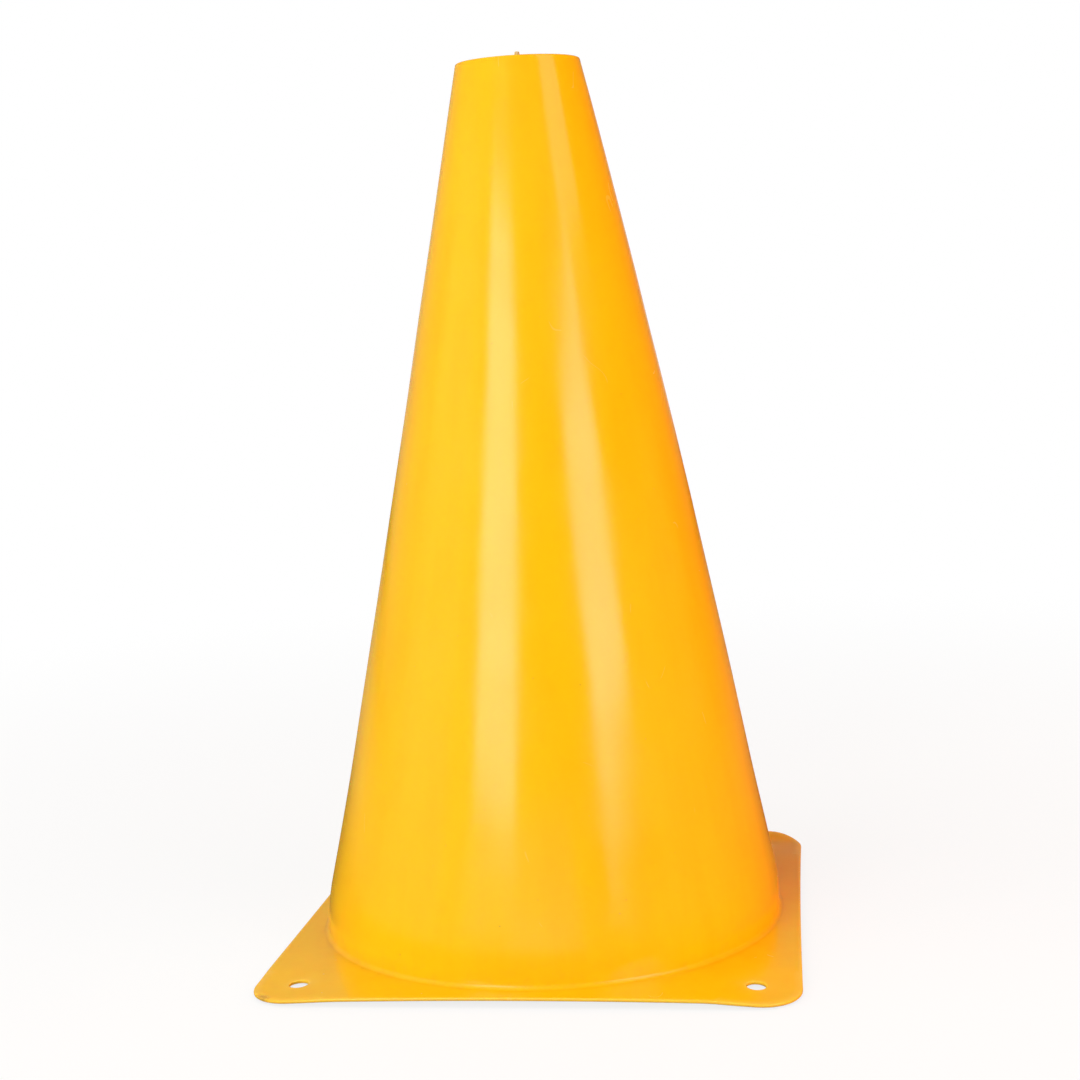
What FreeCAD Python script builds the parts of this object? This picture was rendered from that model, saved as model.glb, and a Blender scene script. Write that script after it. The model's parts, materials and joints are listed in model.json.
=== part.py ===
"""Parametric model of a small traffic cone: one injection moulding in thin plastic, with a closed crown,
a tapered wall that flares a little at its foot, and a square flange with four peg holes.

Frame: millimetres, +Z up. The origin is on the cone's axis, in the plane that the flange rests on.
The flange's sides lie along X and Y.

The moulding is modelled whole, as one PartDesign body. It is then parted on two flat planes into three
regions, crown, cone_wall and base_flange, so that each collides as its own simple shape.
"""

import FreeCAD, Part
import math
import os

import Sketcher

V = FreeCAD.Vector
UP = V(0, 0, 1)

# ---------------------------------------------------------------- sizes that are set, millimetres
SET_SIZES = {
    # the cone
    "cone_height": (230.0, "floor to the top of the crown, without the gate vestige"),
    "flange_width": (136.0, "across flats, both ways"),
    "foot_ledge": (3.6, "from the wall's foot to the flange's side, at its narrowest"),
    "shoulder_diameter": (33.6, "outside of the wall at the crown, before the shoulder is rounded"),
    "wall_thickness": (1.1, "square to the wall"),
    "flare_height": (56.0, "below this height the wall curves outwards"),
    "flare_out": (0.7, "how far the foot stands outside the straight taper"),
    # the closed crown
    "crown_rise": (0.8, "height of the dome above the shoulder"),
    "crown_thickness": (1.4, "on the axis"),
    "shoulder_round": (1.0, "outside radius between wall and crown"),
    "shoulder_round_inside": (0.6, "inside radius between wall and crown"),
    # the flange
    "flange_thickness": (0.8, ""),
    "flange_corner": (11.0, "corner radius, seen from above"),
    "flange_edge_round": (0.25, "rounding of the rim, top and bottom"),
    "foot_round": (1.2, "radius between the wall's outside and the flange's top"),
    "mouth_round": (2.0, "radius between the wall's inside and the flange's underside"),
    # the peg holes
    "peg_hole_diameter": (4.5, ""),
    "peg_hole_inset": (11.3, "from a hole's centre to both of the nearest sides"),
    # what is left of the injection gate, on the crown
    "gate_root_diameter": (1.9, ""),
    "gate_tip_diameter": (1.5, "where it broke off"),
    "gate_height": (2.6, "above the crown"),
    # where the moulding is parted into regions
    "crown_skirt": (0.5, "height of wall that the crown's region keeps under the inside round"),
    "flange_skirt": (1.6, "height of wall that the flange's region keeps above the outside round"),
    "parting_margin": (5.0, "how far the layers that part it reach past the moulding"),
}

# ---------------------------------------------------------------- sizes that follow from those
WORKED_OUT = {
    "foot_radius": ("=flange_width / 2 - foot_ledge", "outside of the wall at the floor"),
    "straight_radius": ("=foot_radius - flare_out", "where the straight taper would meet the floor"),
    "shoulder_radius": ("=shoulder_diameter / 2", ""),
    "shoulder_height": ("=cone_height - crown_rise", ""),
    "opening_diameter": ("=2 * foot_radius - wall_thickness", "the flange's, half-way through the wall"),
    "peg_hole_place": ("=flange_width / 2 - peg_hole_inset", "a hole's centre from the axis, along X and Y"),
    "flange_parting": ("=flange_thickness + foot_round + flange_skirt", "height of the lower parting plane"),
    "crown_rounding": ("=crown_rise + crown_thickness + shoulder_round_inside", "height of the crown's top"),
    "crown_parting": ("=cone_height - crown_rounding - crown_skirt", "height of the upper parting plane"),
    "gate_root_radius": ("=gate_root_diameter / 2", ""),
    "gate_tip_radius": ("=gate_tip_diameter / 2", ""),
    "gate_foot_height": ("=cone_height - crown_thickness / 2", "the gate's root, inside the crown"),
    "gate_top_height": ("=cone_height + gate_height", ""),
    "layer_width": ("=flange_width + 2 * parting_margin", ""),
    "layers_bottom": ("=-parting_margin", ""),
    "layers_top": ("=gate_top_height + parting_margin", ""),
}

FULL_TURN = 360
SQUARE_CORNERS = 4

# an edge is the one looked for if its place and size agree to this
EDGE_MATCH = 0.01

# Sketcher's numbers for the reference axes and for the points of a line or an arc
X_AXIS, Y_AXIS = -1, -2
START, END, CENTRE = 1, 2, 3


def make_sheet(doc):
    """Make the spreadsheet that holds every size: its name, its value or formula, and what it is."""
    sheet = doc.addObject("Spreadsheet::Sheet", "Sizes")
    for row, (alias, (value, note)) in enumerate((SET_SIZES | WORKED_OUT).items(), start=1):
        sheet.set(f"A{row}", alias)
        sheet.set(f"B{row}", str(value))
        sheet.set(f"C{row}", note)
        sheet.setAlias(f"B{row}", alias)
    doc.recompute()
    return sheet


# ---------------------------------------------------------------- sketches
def new_sketch(body, name, role):
    """Add an empty sketch on one of the body's origin planes."""
    sketch = body.newObject("Sketcher::SketchObject", name)
    plane = next(feature for feature in body.Origin.OriginFeatures if feature.Role == role)
    sketch.AttachmentSupport = [(plane, "")]
    sketch.MapMode = "FlatFace"
    return sketch


def tie(sketch, kind, *where):
    """Add a constraint that holds without a size."""
    sketch.addConstraint(Sketcher.Constraint(kind, *where))


def dimension(sketch, kind, *where, follows):
    """Add a constraint whose size follows a cell of the sheet."""
    start_value = float(getattr(sketch.Document.Sizes, follows))
    index = sketch.addConstraint(Sketcher.Constraint(kind, *where, start_value))
    sketch.setExpression(f"Constraints[{index}]", f"Sizes.{follows}")


def across(sketch, curve, point, follows):
    """Set a point's distance from the sketch's origin, sideways."""
    dimension(sketch, "DistanceX", X_AXIS, START, curve, point, follows=follows)


def upright(sketch, curve, point, follows):
    """Set a point's distance from the sketch's origin, upwards."""
    dimension(sketch, "DistanceY", X_AXIS, START, curve, point, follows=follows)


def draw_line(sketch, start, end, construction=False):
    """Draw a straight line."""
    return sketch.addGeometry(Part.LineSegment(start, end), construction)


def draw_arc(sketch, centre, start, end):
    """Draw the arc about centre that runs anticlockwise from start to end."""
    angles = [math.atan2(p.y - centre.y, p.x - centre.x) % math.tau for p in (start, end)]
    circle = Part.Circle(centre, UP, (start - centre).Length)
    return sketch.addGeometry(Part.ArcOfCircle(circle, *angles))


def draw_loop(sketch, corners):
    """Draw straight lines from corner to corner and back to the first, joined at their ends."""
    sides = [draw_line(sketch, a, b) for a, b in zip(corners, corners[1:] + corners[:1])]
    for side, following in zip(sides, sides[1:] + sides[:1]):
        tie(sketch, "Coincident", side, END, following, START)
    return sides


class WallOutline:
    """Corners and arc centres of the wall's section, worked out from the sheet.

    Each of the two outlines, outside (p) and inside (q), is a flare about flare_centre, a straight
    taper and a crown about crown_centre. Sketch X is the distance from the axis and sketch Y is height.
    """

    def __init__(self, size):
        self.wall = size.wall_thickness
        bend_share = size.flare_height / size.shoulder_height
        bend_radius = size.straight_radius + (size.shoulder_radius - size.straight_radius) * bend_share
        self.p_foot = V(size.foot_radius, 0)
        self.p_bend = V(bend_radius, size.flare_height)
        self.p_shoulder = V(size.shoulder_radius, size.shoulder_height)
        self.p_top = V(0, size.cone_height)

        along = (self.p_shoulder - self.p_bend).normalize()
        self.outwards = V(along.y, -along.x)
        chord = self.p_foot - self.p_bend
        self.flare_radius = chord.dot(chord) / (2 * chord.dot(self.outwards))
        self.flare_centre = self.p_bend + self.outwards * self.flare_radius
        crown_radius = (size.shoulder_radius**2 + size.crown_rise**2) / (2 * size.crown_rise)
        self.crown_centre = V(0, size.cone_height - crown_radius)

        self.q_foot = V(self.flare_x(0, inside=True), 0)
        self.q_bend = self.p_bend - self.outwards * self.wall
        self.q_top = V(0, size.cone_height - size.crown_thickness)
        crown_inner = crown_radius - size.crown_thickness
        rest = self.q_bend - self.crown_centre
        reach = math.sqrt(rest.dot(along) ** 2 - rest.dot(rest) + crown_inner**2)
        self.q_shoulder = self.q_bend + along * (reach - rest.dot(along))

    def flare_x(self, height, inside=False):
        """Distance of the flare's outside or inside from the axis, at a height."""
        radius = self.flare_radius + (self.wall if inside else 0)
        return self.flare_centre.x - math.sqrt(radius**2 - (height - self.flare_centre.y) ** 2)


def draw_wall_profile(body, outline):
    """Draw half of the wall's section, from the foot up over the crown to the axis and back inside."""
    sketch = new_sketch(body, "wall_profile", "XZ_Plane")
    o = outline
    flare = draw_arc(sketch, o.flare_centre, o.p_bend, o.p_foot)
    taper = draw_line(sketch, o.p_bend, o.p_shoulder)
    crown = draw_arc(sketch, o.crown_centre, o.p_shoulder, o.p_top)
    pole = draw_line(sketch, o.p_top, o.q_top)
    crown_inside = draw_arc(sketch, o.crown_centre, o.q_shoulder, o.q_top)
    taper_inside = draw_line(sketch, o.q_bend, o.q_shoulder)
    flare_inside = draw_arc(sketch, o.flare_centre, o.q_bend, o.q_foot)
    sole = draw_line(sketch, o.q_foot, o.p_foot)
    straight_foot = V(body.Document.Sizes.straight_radius, 0)
    guide = draw_line(sketch, o.p_bend, straight_foot, construction=True)

    for curve, point, other, other_point in (
        (taper, END, crown, START),
        (crown, END, pole, START),
        (pole, END, crown_inside, END),
        (crown_inside, START, taper_inside, END),
        (flare_inside, END, sole, START),
        (sole, END, flare, END),
        (guide, START, taper, START),
        (crown, CENTRE, crown_inside, CENTRE),
        (flare, CENTRE, flare_inside, CENTRE),
    ):
        tie(sketch, "Coincident", curve, point, other, other_point)
    tie(sketch, "Tangent", flare, START, taper, START)
    tie(sketch, "Tangent", flare_inside, START, taper_inside, START)
    tie(sketch, "Parallel", taper, guide)
    tie(sketch, "Parallel", taper, taper_inside)
    tie(sketch, "Horizontal", sole)
    tie(sketch, "Vertical", pole)
    tie(sketch, "PointOnObject", sole, END, X_AXIS)
    tie(sketch, "PointOnObject", guide, END, X_AXIS)
    tie(sketch, "PointOnObject", pole, START, Y_AXIS)
    tie(sketch, "PointOnObject", crown, CENTRE, Y_AXIS)

    across(sketch, sole, END, follows="foot_radius")
    across(sketch, guide, END, follows="straight_radius")
    across(sketch, taper, END, follows="shoulder_radius")
    upright(sketch, taper, START, follows="flare_height")
    upright(sketch, taper, END, follows="shoulder_height")
    upright(sketch, pole, START, follows="cone_height")
    dimension(sketch, "DistanceY", pole, END, pole, START, follows="crown_thickness")
    dimension(sketch, "Distance", taper_inside, START, taper, follows="wall_thickness")
    return sketch


def draw_gate_profile(body, size):
    """Draw half of the gate vestige's section, a stub that tapers to where it broke off."""
    sketch = new_sketch(body, "gate_profile", "XZ_Plane")
    root, tip = size.gate_root_radius, size.gate_tip_radius
    low, high = size.gate_foot_height, size.gate_top_height
    under, flank, over, pole = draw_loop(sketch, [V(0, low), V(root, low), V(tip, high), V(0, high)])
    tie(sketch, "Horizontal", under)
    tie(sketch, "Horizontal", over)
    tie(sketch, "PointOnObject", pole, START, Y_AXIS)
    tie(sketch, "PointOnObject", pole, END, Y_AXIS)
    across(sketch, under, END, follows="gate_root_radius")
    across(sketch, over, START, follows="gate_tip_radius")
    upright(sketch, under, START, follows="gate_foot_height")
    upright(sketch, over, START, follows="gate_top_height")
    return sketch


def draw_flange_outline(body, size):
    """Draw the flange's square, with a round opening that ends half-way through the wall."""
    sketch = new_sketch(body, "flange_outline", "XY_Plane")
    half = size.flange_width / 2
    front, right, back, left = draw_loop(
        sketch, [V(-half, -half), V(half, -half), V(half, half), V(-half, half)]
    )
    tie(sketch, "Horizontal", front)
    tie(sketch, "Horizontal", back)
    tie(sketch, "Vertical", right)
    tie(sketch, "Vertical", left)
    tie(sketch, "Symmetric", front, START, back, START, X_AXIS, START)
    dimension(sketch, "DistanceX", front, START, front, END, follows="flange_width")
    dimension(sketch, "DistanceY", right, START, right, END, follows="flange_width")

    opening = sketch.addGeometry(Part.Circle(V(), UP, size.opening_diameter / 2))
    tie(sketch, "Coincident", opening, CENTRE, X_AXIS, START)
    dimension(sketch, "Diameter", opening, follows="opening_diameter")
    return sketch


def draw_peg_hole(body, size):
    """Draw one peg hole, in the flange's corner where X and Y are both positive."""
    sketch = new_sketch(body, "peg_hole_outline", "XY_Plane")
    place = V(size.peg_hole_place, size.peg_hole_place)
    hole = sketch.addGeometry(Part.Circle(place, UP, size.peg_hole_diameter / 2))
    across(sketch, hole, CENTRE, follows="peg_hole_place")
    upright(sketch, hole, CENTRE, follows="peg_hole_place")
    dimension(sketch, "Diameter", hole, follows="peg_hole_diameter")
    return sketch


# ---------------------------------------------------------------- the moulding
def revolve(body, name, profile):
    """Revolve a profile about Z."""
    feature = body.newObject("PartDesign::Revolution", name)
    feature.Profile = profile
    feature.ReferenceAxis = (profile, ["V_Axis"])
    feature.Angle = FULL_TURN
    body.Document.recompute()
    return feature


def rings(feature, radius, height):
    """Find the circular edges about the cone's axis that have a radius and a height."""
    names = []
    for number, edge in enumerate(feature.Shape.Edges, start=1):
        if edge.Degenerated or not isinstance(edge.Curve, Part.Circle):
            continue
        off_place = (edge.Curve.Center - V(0, 0, height)).Length
        if max(off_place, abs(edge.Curve.Radius - radius)) < EDGE_MATCH:
            names.append(f"Edge{number}")
    return names


def uprights(feature, corner):
    """Find the straight upright edges that stand this far from both the X and the Y axis."""
    names = []
    for number, edge in enumerate(feature.Shape.Edges, start=1):
        if edge.Degenerated or len(edge.Vertexes) < 2:
            continue
        low, high = edge.Vertexes[0].Point, edge.Vertexes[-1].Point
        leans = math.hypot(high.x - low.x, high.y - low.y)
        off_corner = max(abs(abs(low.x) - corner), abs(abs(low.y) - corner))
        if max(leans, off_corner) < EDGE_MATCH:
            names.append(f"Edge{number}")
    return names


def rim(feature, half_width, height):
    """Find the edges that lie flat at a height and reach out to the flange's rim."""
    names = []
    for number, edge in enumerate(feature.Shape.Edges, start=1):
        if edge.Degenerated:
            continue
        box = edge.BoundBox
        off_height = max(abs(box.ZMin - height), abs(box.ZMax - height))
        reach = max(-box.XMin, box.XMax, -box.YMin, box.YMax)
        if max(off_height, abs(reach - half_width)) < EDGE_MATCH:
            names.append(f"Edge{number}")
    return names


def round_edges(body, name, base, edges, follows):
    """Round edges of the body's last feature by a radius from the sheet."""
    if not edges:
        raise ValueError(f"{name}: no such edge on {base.Name}")
    feature = body.newObject("PartDesign::Fillet", name)
    feature.Base = (base, edges)
    feature.setExpression("Radius", f"Sizes.{follows}")
    body.Document.recompute()
    return feature


def make_moulding(doc, size):
    """Make the whole cone as one body: wall, crown, flange, peg holes and gate vestige."""
    body = doc.addObject("PartDesign::Body", "Moulding")
    outline = WallOutline(size)
    half_width = size.flange_width / 2

    wall = revolve(body, "tapered_wall", draw_wall_profile(body, outline))
    edge = rings(wall, outline.p_shoulder.x, outline.p_shoulder.y)
    crown = round_edges(body, "shoulder_outside", wall, edge, "shoulder_round")
    edge = rings(crown, outline.q_shoulder.x, outline.q_shoulder.y)
    crown = round_edges(body, "shoulder_inside", crown, edge, "shoulder_round_inside")
    revolve(body, "gate_vestige", draw_gate_profile(body, size))

    flange = body.newObject("PartDesign::Pad", "flange")
    flange.Profile = draw_flange_outline(body, size)
    flange.setExpression("Length", "Sizes.flange_thickness")
    doc.recompute()
    corners = uprights(flange, half_width)
    flange = round_edges(body, "flange_corners", flange, corners, "flange_corner")
    rims = rim(flange, half_width, 0) + rim(flange, half_width, size.flange_thickness)
    flange = round_edges(body, "flange_rim", flange, rims, "flange_edge_round")
    edge = rings(flange, outline.flare_x(size.flange_thickness), size.flange_thickness)
    flange = round_edges(body, "foot_outside", flange, edge, "foot_round")
    edge = rings(flange, outline.q_foot.x, 0)
    round_edges(body, "mouth", flange, edge, "mouth_round")

    hole = body.newObject("PartDesign::Pocket", "peg_hole")
    hole.Profile = draw_peg_hole(body, size)
    hole.Type = "ThroughAll"
    hole.Midplane = True
    doc.recompute()
    holes = body.newObject("PartDesign::PolarPattern", "peg_holes")
    holes.Originals = [hole]
    holes.Axis = (hole.Profile[0], ["N_Axis"])
    holes.Angle = FULL_TURN
    holes.Occurrences = SQUARE_CORNERS
    body.Tip = holes
    doc.recompute()
    return body


# ---------------------------------------------------------------- regions of the moulding
def make_region(doc, name, moulding, bottom, top):
    """Part one region off the moulding: all of it that lies between two heights, given as formulas."""
    layer = doc.addObject("Part::Box", f"{name}_layer")
    layer.setExpression("Length", "Sizes.layer_width")
    layer.setExpression("Width", "Sizes.layer_width")
    layer.setExpression("Height", f"{top} - {bottom}")
    layer.setExpression("Placement.Base.x", "-Sizes.layer_width / 2")
    layer.setExpression("Placement.Base.y", "-Sizes.layer_width / 2")
    layer.setExpression("Placement.Base.z", bottom)
    region = doc.addObject("Part::Common", name)
    region.Label = name
    region.Base = moulding
    region.Tool = layer
    return region


def make_regions(doc, moulding):
    """Part the moulding into its three regions, from the floor up."""
    regions = [
        make_region(doc, "base_flange", moulding, "Sizes.layers_bottom", "Sizes.flange_parting"),
        make_region(doc, "cone_wall", moulding, "Sizes.flange_parting", "Sizes.crown_parting"),
        make_region(doc, "crown", moulding, "Sizes.crown_parting", "Sizes.layers_top"),
    ]
    doc.recompute()
    return regions


def check(doc, regions):
    """Stop the build if any feature failed or any region isn't one valid solid."""
    for feature in doc.Objects:
        if {"Invalid", "Error"} & set(feature.State):
            raise RuntimeError(f"{feature.Name} failed: {feature.State}")
    for sketch in doc.findObjects("Sketcher::SketchObject"):
        if not sketch.FullyConstrained:
            raise RuntimeError(f"{sketch.Name} isn't fully constrained")
    for region in regions:
        shape = region.Shape
        if shape.isNull() or not shape.isValid() or len(shape.Solids) != 1:
            raise RuntimeError(f"{region.Label} isn't one valid solid")


def main():
    """Build the cone and write each region to parts/."""
    doc = FreeCAD.newDocument("traffic_cone")
    size = make_sheet(doc)
    regions = make_regions(doc, make_moulding(doc, size))
    check(doc, regions)
    os.makedirs("parts", exist_ok=True)
    for region in regions:
        region.Shape.exportStep(f"parts/{region.Label}.step")


main()
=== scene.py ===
"""A small moulded traffic cone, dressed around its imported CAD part.

Everything is in metres and in the part's own frame: +Z up, the origin on the cone's axis in the plane
that the flange rests on, and the flange's sides along X and Y.
"""

import json
import logging
import math
from dataclasses import dataclass, field
from enum import Enum
from typing import Iterable, Sequence, Union

import bmesh
import bpy
from mathutils import Matrix, Vector, noise


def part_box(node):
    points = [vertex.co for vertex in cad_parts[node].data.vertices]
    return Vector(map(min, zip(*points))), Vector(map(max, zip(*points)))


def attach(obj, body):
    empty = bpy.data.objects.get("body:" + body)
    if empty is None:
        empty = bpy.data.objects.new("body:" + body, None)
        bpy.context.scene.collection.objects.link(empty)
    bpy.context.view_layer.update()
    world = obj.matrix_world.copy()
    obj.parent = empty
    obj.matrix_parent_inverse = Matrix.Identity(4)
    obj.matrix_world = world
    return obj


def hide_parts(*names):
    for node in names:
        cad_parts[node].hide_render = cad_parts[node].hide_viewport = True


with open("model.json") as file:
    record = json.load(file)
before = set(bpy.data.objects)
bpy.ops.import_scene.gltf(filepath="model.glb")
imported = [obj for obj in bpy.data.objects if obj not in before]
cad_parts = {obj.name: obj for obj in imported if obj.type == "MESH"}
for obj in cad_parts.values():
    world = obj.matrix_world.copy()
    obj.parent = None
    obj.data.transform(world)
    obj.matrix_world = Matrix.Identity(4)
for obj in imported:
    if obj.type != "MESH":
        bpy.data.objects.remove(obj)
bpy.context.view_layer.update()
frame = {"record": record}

LOG = logging.getLogger("traffic_cone")
MM = 0.001
GATE_HEIGHT = 1.83 * MM
# how far inside the CAD's rim the cooled flange's rim lies
SHRINKAGE = 0.15 * MM


# ---------------------------------------------------------------- shader maths
Number = Union[int, float]
Term = Union["Wire", Number]
Colour = tuple[float, float, float, float]
Section = list[tuple[float, float]]


class Wire:
    """A node's output socket on which shader maths is written as Python expressions."""

    def __init__(self, graph: "Graph", socket: bpy.types.NodeSocket) -> None:
        """Wrap a socket.

        Args:
            graph: The graph that the socket's node is in.
            socket: The output socket.
        """
        self.graph = graph
        self.socket = socket

    def _math(self, operation: str, *values: Term) -> "Wire":
        """Add a Math node.

        Args:
            operation: The Math node's operation.
            values: Its inputs, in order.

        Returns:
            The node's output.
        """
        return self.graph.node("Math", {"operation": operation}, dict(enumerate(values)))

    def __add__(self, other: Term) -> "Wire":
        """Add."""
        return self._math("ADD", self, other)

    __radd__ = __add__

    def __sub__(self, other: Term) -> "Wire":
        """Subtract."""
        return self._math("SUBTRACT", self, other)

    def __rsub__(self, other: Number) -> "Wire":
        """Subtract this from a number."""
        return self._math("SUBTRACT", other, self)

    def __mul__(self, other: Term) -> "Wire":
        """Multiply."""
        return self._math("MULTIPLY", self, other)

    __rmul__ = __mul__

    def at_most(self, other: Term) -> "Wire":
        """Take the smaller of two values."""
        return self._math("MINIMUM", self, other)

    def at_least(self, other: Term) -> "Wire":
        """Take the larger of two values."""
        return self._math("MAXIMUM", self, other)

    def size(self) -> "Wire":
        """Take the value without its sign."""
        return self._math("ABSOLUTE", self)

    def ramp(self, low: Number, high: Number, to_low: Number = 0.0, to_high: Number = 1.0) -> "Wire":
        """Turn a range of values smoothly into another.

        Args:
            low: The value that becomes to_low.
            high: The value that becomes to_high.
            to_low: The result at and beyond low.
            to_high: The result at and beyond high.

        Returns:
            The turned value.
        """
        return self.graph.node(
            "MapRange",
            {"interpolation_type": "SMOOTHSTEP"},
            {"Value": self, "From Min": low, "From Max": high, "To Min": to_low, "To Max": to_high},
        )


class Graph:
    """A material's or the world's node tree, to which nodes are added one call at a time."""

    def __init__(self, tree: bpy.types.NodeTree) -> None:
        """Empty a tree and hold it.

        Args:
            tree: The node tree.
        """
        self.tree = tree
        tree.nodes.clear()

    def node(
        self,
        kind: str,
        settings: dict[str, object] | None = None,
        inputs: dict[Union[str, int], object] | None = None,
        output: Union[str, int] = 0,
    ) -> Wire:
        """Add a node.

        Args:
            kind: The node's type, without its ShaderNode prefix.
            settings: Properties to set before anything is linked.
            inputs: Values or wires for its input sockets, by name or number.
            output: The output socket to hand back.

        Returns:
            That output socket.
        """
        made = self.tree.nodes.new(f"ShaderNode{kind}")
        for name, value in (settings or {}).items():
            setattr(made, name, value)
        for where, value in (inputs or {}).items():
            socket = made.inputs[where]
            if isinstance(value, Wire):
                self.tree.links.new(value.socket, socket)
            else:
                socket.default_value = value
        return Wire(self, made.outputs[output] if made.outputs else None)

    def mix(self, share: Wire, first: object, second: object) -> Wire:
        """Mix two colours.

        Args:
            share: How much of the second colour to take, 0 to 1.
            first: A colour or a wire that carries one.
            second: A colour or a wire that carries one.

        Returns:
            The mixed colour.
        """
        # sockets 6 and 7 are the colour pair of a Mix node, and 2 is its colour output
        return self.node("Mix", {"data_type": "RGBA"}, {0: share, 6: first, 7: second}, output=2)

    def noise(self, place: Wire, scale: float, detail: float = 2.0, roughness: float = 0.5) -> Wire:
        """Add smooth noise.

        Args:
            place: Where to read the noise.
            scale: Cells to the metre.
            detail: How many finer layers to add.
            roughness: How strong the finer layers are.

        Returns:
            The noise, about 0 to 1.
        """
        return self.node(
            "TexNoise", {}, {"Vector": place, "Scale": scale, "Detail": detail, "Roughness": roughness}
        )

    def stretched(self, place: Wire, stretch: Sequence[float]) -> Wire:
        """Multiply a place by a factor along each axis."""
        return self.node("VectorMath", {"operation": "MULTIPLY"}, {0: place, 1: tuple(stretch)})

    def distance(self, place: Wire, fixed: Sequence[float]) -> Wire:
        """Measure the distance between a place and a fixed point."""
        inputs = {0: place, 1: tuple(fixed)}
        return self.node("VectorMath", {"operation": "DISTANCE"}, inputs, output="Value")

    def along(self, direction: Wire, axis: Sequence[float]) -> Wire:
        """Measure how far a direction points along an axis, -1 to 1."""
        inputs = {0: direction, 1: tuple(axis)}
        return self.node("VectorMath", {"operation": "DOT_PRODUCT"}, inputs, output="Value")


# ---------------------------------------------------------------- finishes
@dataclass(frozen=True)
class Polyethylene:
    """Semi-gloss polyethylene, coloured through, as it comes from the mould and after some use.

    The skin's point attributes say where it is handled and where shade and a highlight are painted into its
    colour:
    "edge" is 1 on rims and lips, "crease" is 1 in the angle between wall and flange, and "gate" is 1 on the
    torn gate.

    Attributes:
        name: The material's name.
        colour: The plastic's own colour.
        flow_colour: Its colour in the streaks that the melt left as it ran from the gate.
        scuff_colour: Its colour where it has been rubbed dull.
        edge_highlight_colour: A painted highlight: a paler colour along rims and lips, for the light that
            they catch and let through.
        crease_shade_colour: Painted shade: a deeper orange in the angle between wall and flange, where shade
            falls.
        grime_colour: The colour of dirt in its creases.
        torn_colour: The colour of the torn gate.
        smudge: Where a corner has been dragged along the ground.
        rear_shade_colour: Painted shade: a deeper orange at the rear right, for the cone's shadow and warm
            light thrown back.
        rear_shade_place: Where that is.
        rear_shade_reach: How far from there it is at its strongest, and how far away it ends.
        scuff_share: How much of the scuffed colour shows at the most.
        edge_highlight_share: How much of the painted edge highlight shows at the most.
        crease_shade_share: How much of the painted crease shade shows at the most.
        rear_shade_share: How much of the painted rear-right shade shows at the most.
        gloss: Roughness of the polished outside.
        dull: Roughness where it is scuffed.
        drawing_height: Height of the relief that drawing off the core left, in metres.
        ripple_height: Height of the mould's own turning marks, in metres.
        pebble_height: Height of the skin's fine unevenness, in metres.
        scratch_depth: Depth of a scratch, in metres.
    """

    name: str = "yellow_polyethylene"
    colour: Colour = (0.95, 0.52, 0.003, 1.0)
    flow_colour: Colour = (0.95, 0.495, 0.002, 1.0)
    scuff_colour: Colour = (0.9, 0.56, 0.09, 1.0)
    edge_highlight_colour: Colour = (0.98, 0.62, 0.12, 1.0)
    crease_shade_colour: Colour = (0.6, 0.25, 0.0, 1.0)
    grime_colour: Colour = (0.32, 0.17, 0.03, 1.0)
    torn_colour: Colour = (0.62, 0.48, 0.24, 1.0)
    smudge: tuple[float, float, float] = (-64.2 * MM, -65.6 * MM, 1.0 * MM)
    rear_shade_colour: Colour = (0.85, 0.22, 0.0, 1.0)
    rear_shade_place: tuple[float, float, float] = (68.0 * MM, 50.0 * MM, 0.0)
    rear_shade_reach: tuple[float, float] = (12 * MM, 75 * MM)
    scuff_share: float = 0.3
    edge_highlight_share: float = 0.4
    crease_shade_share: float = 0.24
    rear_shade_share: float = 0.55
    gloss: float = 0.17
    dull: float = 0.42
    drawing_height: float = 0.03 * MM
    ripple_height: float = 0.012 * MM
    pebble_height: float = 0.02 * MM
    scratch_depth: float = 0.03 * MM

    def make(self) -> bpy.types.Material:
        """Make the material.

        Returns:
            The material.
        """
        material = bpy.data.materials.new(self.name)
        material.use_nodes = True
        graph = Graph(material.node_tree)
        place = graph.node("TexCoord", output="Object")
        edge = graph.node("Attribute", {"attribute_name": "edge"}, output="Fac")
        crease = graph.node("Attribute", {"attribute_name": "crease"}, output="Fac")
        gate = graph.node("Attribute", {"attribute_name": "gate"}, output="Fac")

        streaks = graph.noise(graph.stretched(place, (160, 160, 9)), 1.0, detail=3.0)
        clouds = graph.noise(place, 22.0, detail=2.0)
        flow = (streaks * 0.6 + clouds * 0.4).ramp(0.4, 0.66)
        scuffs = self._scuffs(graph, place)
        wear = (scuffs + edge * graph.noise(place, 320.0, detail=3.0).ramp(0.45, 0.8) * 0.5).at_most(1.0)
        dirt = self._dirt(graph, place, edge, crease)

        # painted shade: the flange's rear right corner and the wall's lower right are coloured a deeper
        # orange
        rear_shade = graph.distance(place, self.rear_shade_place).ramp(*self.rear_shade_reach, self.rear_shade_share, 0.0)
        colour = graph.mix(flow, self.colour, self.flow_colour)
        colour = graph.mix(rear_shade, colour, self.rear_shade_colour)
        colour = graph.mix(wear * self.scuff_share, colour, self.scuff_colour)
        # painted highlight: rims and lips are coloured paler
        colour = graph.mix(edge * self.edge_highlight_share, colour, self.edge_highlight_colour)
        # painted shade: the angle between wall and flange is coloured a deeper orange
        colour = graph.mix(crease * crease * self.crease_shade_share, colour, self.crease_shade_colour)
        colour = graph.mix(dirt, colour, self.grime_colour)
        colour = graph.mix(gate, colour, self.torn_colour)
        patches = graph.noise(place, 45.0, detail=3.0)
        roughness = patches.ramp(0.35, 0.7, self.gloss - 0.02, self.gloss + 0.05)
        roughness = (roughness + wear * (self.dull - self.gloss) + dirt * 0.3 + gate * 0.3).at_most(0.8)

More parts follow.
